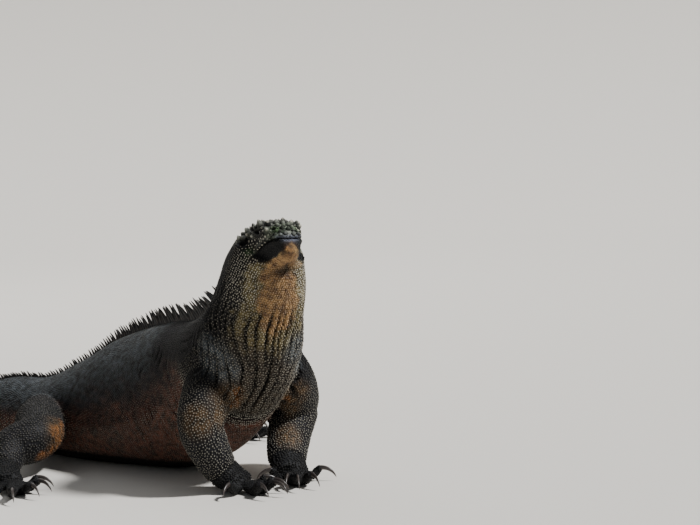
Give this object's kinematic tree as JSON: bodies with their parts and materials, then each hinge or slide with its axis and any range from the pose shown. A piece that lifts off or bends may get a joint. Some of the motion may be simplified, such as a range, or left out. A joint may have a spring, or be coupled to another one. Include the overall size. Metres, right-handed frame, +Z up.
{
  "type": "marine iguana",
  "caption": "Still life-size model of a marine iguana resting on its belly with straight forelegs, raised head, spiny crest, blunt scaly snout and a flattened tail along the ground.",
  "frame": {"origin": "centre of the outline at the level of the ground", "axes": "+X the way the animal faces, +Y its left side, +Z up"},
  "size_m": [1.0232, 0.4186, 0.2707],
  "materials": {
    "back_skin": "dry dark grey scales, rust-brown on the flank",
    "throat_skin": "loose folded skin with small grey and ochre scales",
    "head_skin": "horny cone-shaped scales with a pale salt crust",
    "limb_skin": "dark pebbled scales with pale centres",
    "claw_horn": "smooth dark horn, paler at the edge",
    "eye": "wet dark brown eye"
  },
  "bodies": {
    "root": {"tail_tip": "back_skin", "tail_rear": "back_skin", "tail_middle": "back_skin", "tail_root": "back_skin", "belly": "back_skin", "chest": "throat_skin", "neck": "throat_skin", "head": "head_skin", "upper_arm_right": "limb_skin", "forearm_right": "limb_skin", "hand_right": "limb_skin", "thigh_right": "limb_skin", "shin_right": "limb_skin", "foot_right": "limb_skin", "upper_arm_left": "limb_skin", "forearm_left": "limb_skin", "hand_left": "limb_skin", "thigh_left": "limb_skin", "shin_left": "limb_skin", "foot_left": "limb_skin", "claw_hand_right_1": "claw_horn", "claw_hand_right_2": "claw_horn", "claw_hand_right_3": "claw_horn", "claw_hand_right_4": "claw_horn", "claw_hand_right_5": "claw_horn", "claw_hand_left_1": "claw_horn", "claw_hand_left_2": "claw_horn", "claw_hand_left_3": "claw_horn", "claw_hand_left_4": "claw_horn", "claw_hand_left_5": "claw_horn", "claw_foot_right_1": "claw_horn", "claw_foot_right_2": "claw_horn", "claw_foot_right_3": "claw_horn", "claw_foot_right_4": "claw_horn", "claw_foot_right_5": "claw_horn", "claw_foot_left_1": "claw_horn", "claw_foot_left_2": "claw_horn", "claw_foot_left_3": "claw_horn", "claw_foot_left_4": "claw_horn", "claw_foot_left_5": "claw_horn", "eye_right": "eye", "eye_left": "eye"}
  },
  "joints": []
}
